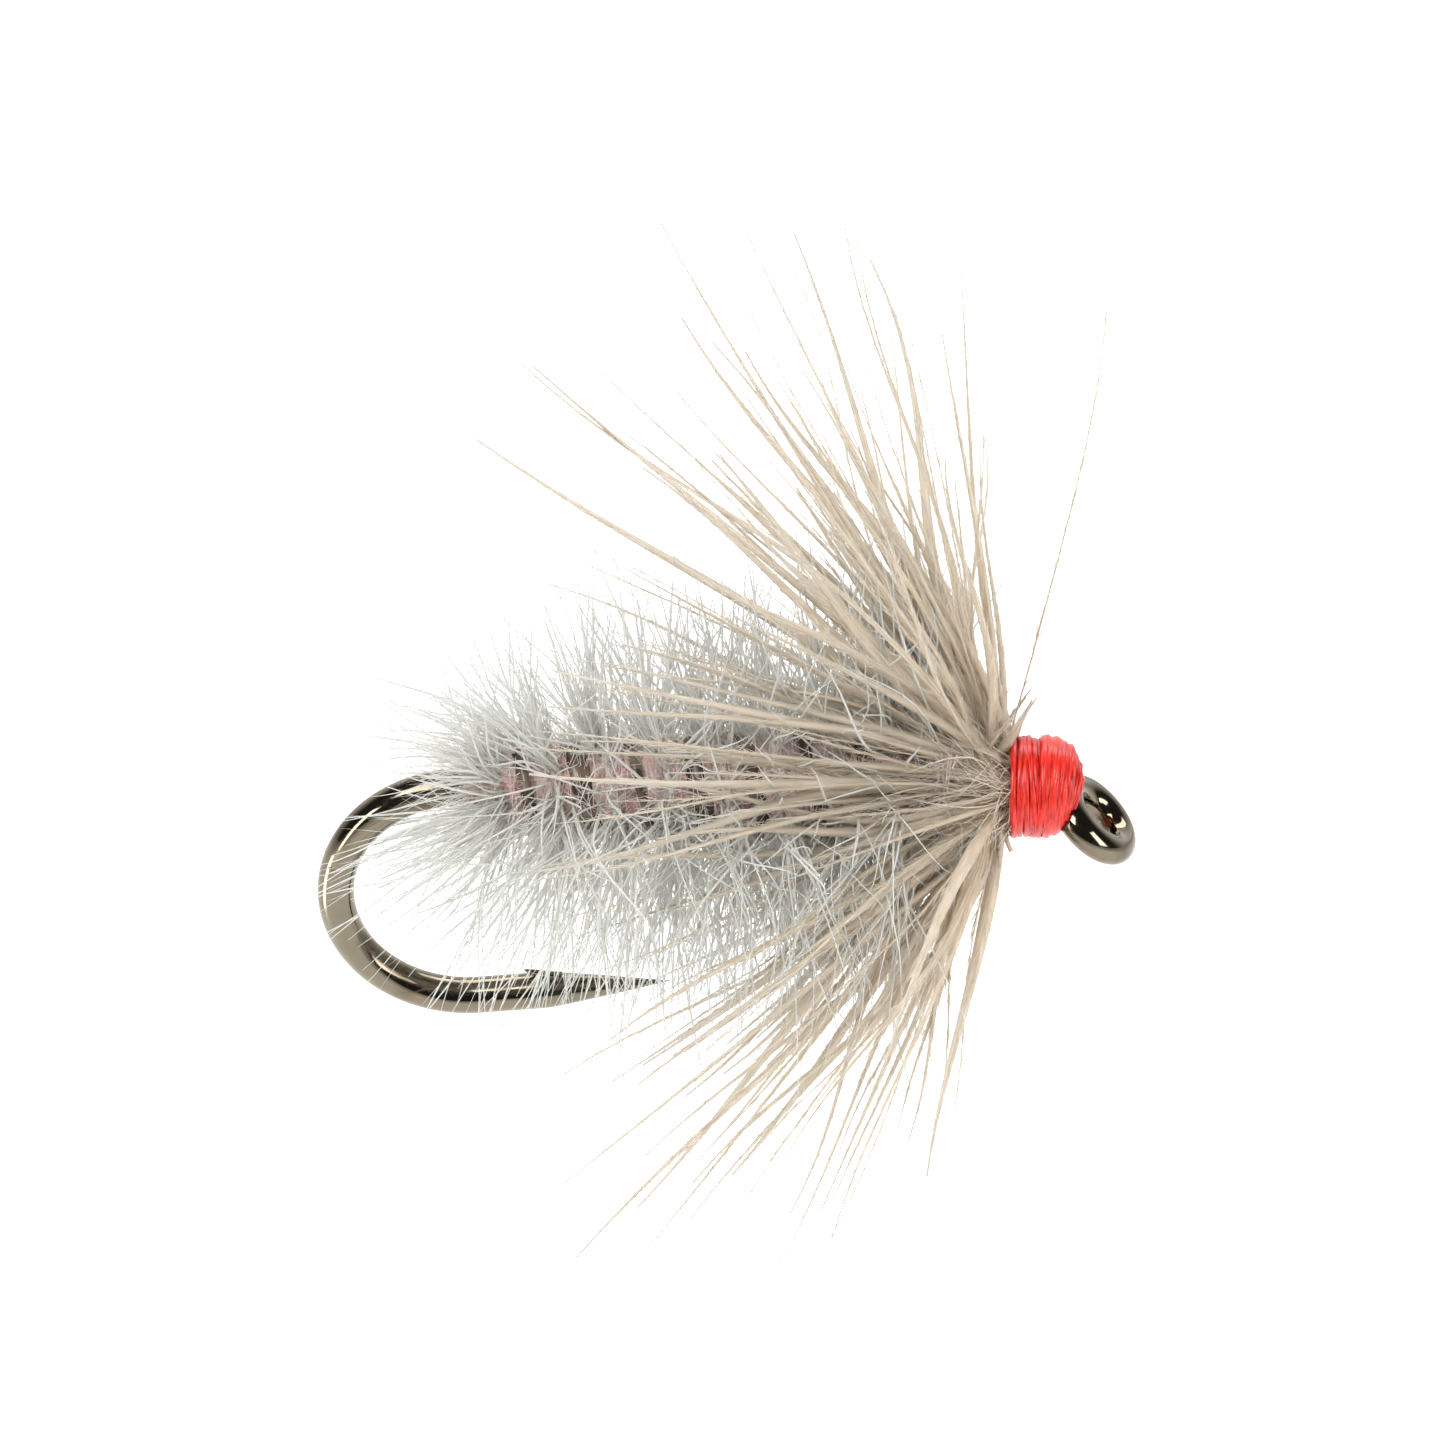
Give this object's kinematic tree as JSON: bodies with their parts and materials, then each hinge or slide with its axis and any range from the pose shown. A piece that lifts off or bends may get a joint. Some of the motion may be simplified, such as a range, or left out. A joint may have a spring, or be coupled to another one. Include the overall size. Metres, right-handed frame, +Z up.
{
  "type": "dry fly",
  "caption": "Palmered dry fly on a down-eye barbed hook: floats on its hackle fibres and hides the hook, tied to a leader at the eye.",
  "frame": {"origin": "centre of the hook eye's hole", "axes": "+X along the shank and out past the eye, +Z up from the shank with the hook's point below it, Y across the fly"},
  "size_m": [0.012, 0.0176, 0.0189],
  "materials": {
    "hook_wire": "polished dark bronzed nickel",
    "red_thread": "varnished thread",
    "pink_thread": "waxed thread",
    "dubbing": "loose spun fibre",
    "quill": "banded feather quill",
    "grey_stem": "feather stem",
    "grey_hackle": "stiff translucent fibre",
    "tan_stem": "feather stem",
    "tan_hackle": "soft webby fibre"
  },
  "bodies": {
    "root": {"hook": "hook_wire", "shank_thread_base": "pink_thread", "rear_tie_in_wraps": "pink_thread", "body_hackle_tie_off": "pink_thread", "dubbed_underbody": "dubbing", "body_rib": "quill", "body_hackle_stem": "grey_stem", "body_hackle_turn_1": "grey_hackle", "body_hackle_turn_2": "grey_hackle", "body_hackle_turn_3": "grey_hackle", "body_hackle_turn_4": "grey_hackle", "body_hackle_turn_5": "grey_hackle", "body_hackle_turn_6": "grey_hackle", "body_hackle_turn_7": "grey_hackle", "body_hackle_turn_8": "grey_hackle", "front_hackle_stem": "tan_stem", "front_hackle_turn_1": "tan_hackle", "front_hackle_turn_2": "tan_hackle", "front_hackle_turn_3": "tan_hackle", "front_hackle_butt": "tan_stem", "hackle_collar_wraps": "red_thread", "head_thread_wraps": "red_thread", "whip_finish_wraps": "red_thread"}
  },
  "joints": []
}
